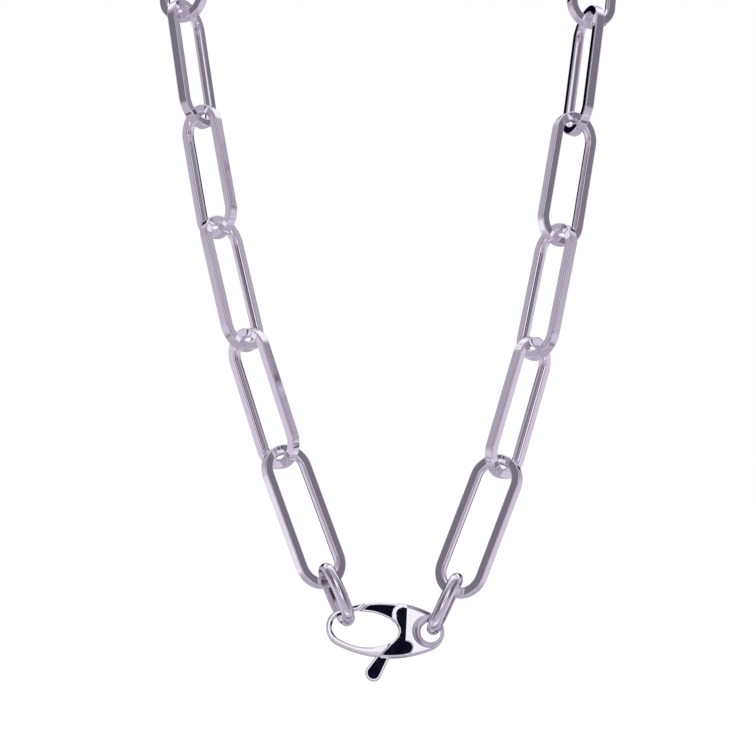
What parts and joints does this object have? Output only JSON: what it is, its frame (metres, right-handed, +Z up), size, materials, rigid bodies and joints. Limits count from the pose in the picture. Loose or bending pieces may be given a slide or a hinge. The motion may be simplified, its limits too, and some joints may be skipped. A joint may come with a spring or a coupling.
{
  "type": "paperclip chain necklace",
  "caption": "Necklace of long square-wire paperclip links in bright silver, closed at the front by an oval lobster clasp with a sprung trigger.",
  "frame": {"origin": "where the middle link rests against the back of the neck, in the middle of that link's lower edge", "axes": "+X to the viewer's right, +Y away from the viewer (from the clasp towards the nape), +Z up"},
  "size_m": [0.085, 0.0936, 0.1723],
  "materials": {
    "link_metal": "mirror polished",
    "ring_metal": "mirror polished",
    "clasp_metal": "mirror polished",
    "trigger_metal": "mirror polished"
  },
  "bodies": {
    "necklace": {"clasp_body": "clasp_metal", "pivot_pin": "clasp_metal", "ring_left": "ring_metal", "ring_right": "ring_metal", "link_01": "link_metal", "link_02": "link_metal", "link_03": "link_metal", "link_04": "link_metal", "link_05": "link_metal", "link_06": "link_metal", "link_07": "link_metal", "link_08": "link_metal", "link_09": "link_metal", "link_10": "link_metal", "link_11": "link_metal", "link_12": "link_metal", "link_13": "link_metal", "link_14": "link_metal", "link_15": "link_metal", "link_16": "link_metal", "link_17": "link_metal", "link_18": "link_metal", "link_19": "link_metal", "link_20": "link_metal", "link_21": "link_metal", "link_22": "link_metal", "link_23": "link_metal", "link_24": "link_metal", "link_25": "link_metal", "link_26": "link_metal", "link_27": "link_metal", "link_28": "link_metal", "link_29": "link_metal", "link_30": "link_metal", "link_31": "link_metal"},
    "trigger": {"clasp_trigger": "trigger_metal"}
  },
  "joints": [
    {"name": "trigger_pivot", "type": "hinge", "parent": "necklace", "child": "trigger", "pos_m": [0.00227, -0.0855, -0.16379], "axis": [0, -0.9563, 0.2924], "range_deg": [0, 22], "stiffness_Nm_per_rad": 0.003, "springref_deg": -22.92}
  ]
}
